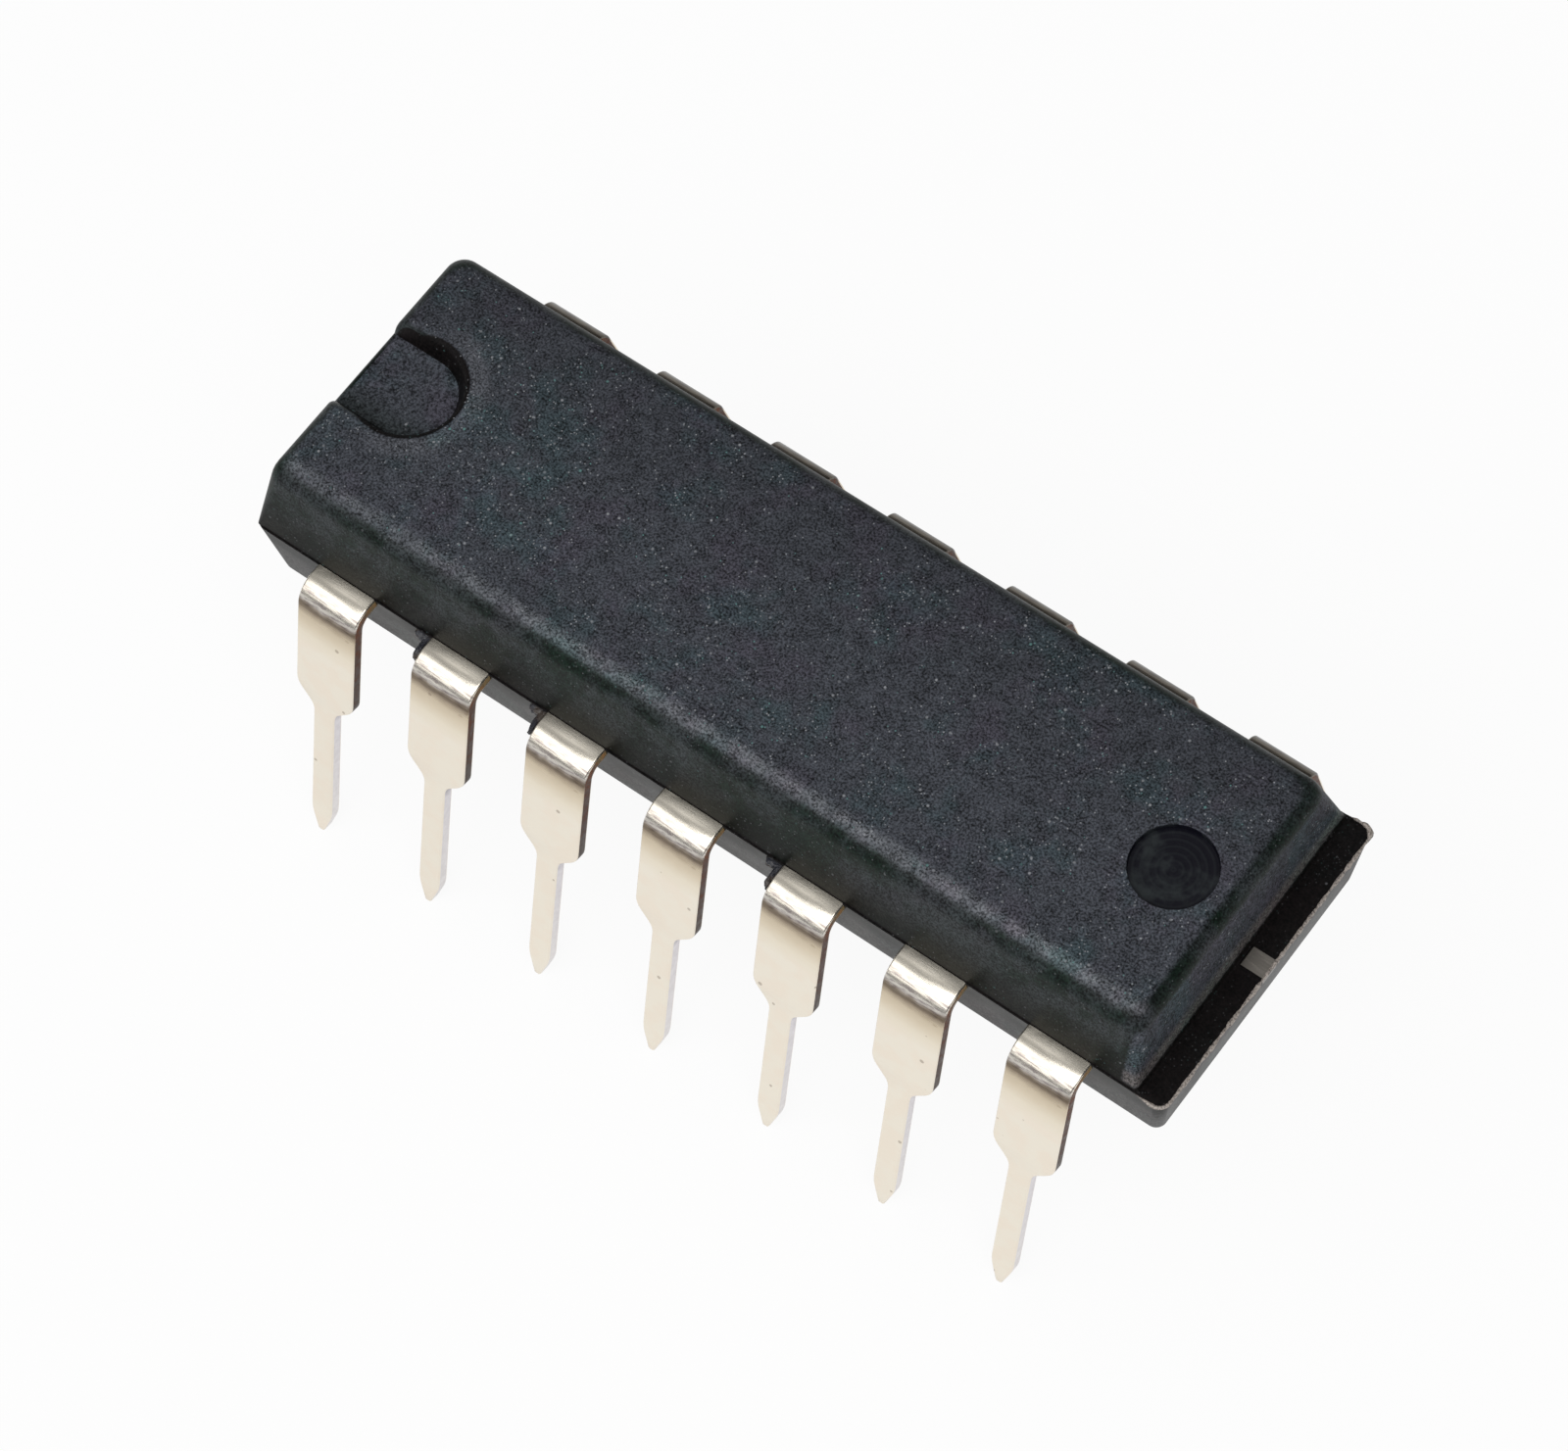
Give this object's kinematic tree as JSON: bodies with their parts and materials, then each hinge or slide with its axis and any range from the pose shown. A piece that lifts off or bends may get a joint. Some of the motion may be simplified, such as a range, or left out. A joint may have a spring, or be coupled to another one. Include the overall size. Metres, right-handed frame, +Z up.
{
  "type": "dip integrated circuit chip",
  "caption": "Dual in-line chip: dark moulded resin body with an index notch and two rows of bent, tin-plated pins, with its lead frame, chip and bond wires inside.",
  "frame": {"origin": "midway between the two rows of pins, on the plane of the pin tips", "axes": "+X along the body away from the index notch, +Y across the body from the pin 1 row to the other row, +Z up through the top face"},
  "size_m": [0.0194, 0.0104, 0.0083],
  "materials": {
    "resin": "satin black moulding resin, finely speckled",
    "tinned_lead": "satin tin plating on a copper-alloy strip",
    "frame_metal": "silver-plated lead frame",
    "silicon": "polished silicon",
    "glue": "silver-filled glue",
    "gold_wire": "bright gold wire"
  },
  "bodies": {
    "root": {"package_body": "resin", "die_paddle": "frame_metal", "die_glue": "glue", "die": "silicon", "lead_01": "tinned_lead", "lead_02": "tinned_lead", "lead_03": "tinned_lead", "lead_04": "tinned_lead", "lead_05": "tinned_lead", "lead_06": "tinned_lead", "lead_07": "tinned_lead", "lead_08": "tinned_lead", "lead_09": "tinned_lead", "lead_10": "tinned_lead", "lead_11": "tinned_lead", "lead_12": "tinned_lead", "lead_13": "tinned_lead", "lead_14": "tinned_lead", "bond_wire_01": "gold_wire", "bond_wire_02": "gold_wire", "bond_wire_03": "gold_wire", "bond_wire_04": "gold_wire", "bond_wire_05": "gold_wire", "bond_wire_06": "gold_wire", "bond_wire_07": "gold_wire", "bond_wire_08": "gold_wire", "bond_wire_09": "gold_wire", "bond_wire_10": "gold_wire", "bond_wire_11": "gold_wire", "bond_wire_12": "gold_wire", "bond_wire_13": "gold_wire", "bond_wire_14": "gold_wire"}
  },
  "joints": []
}
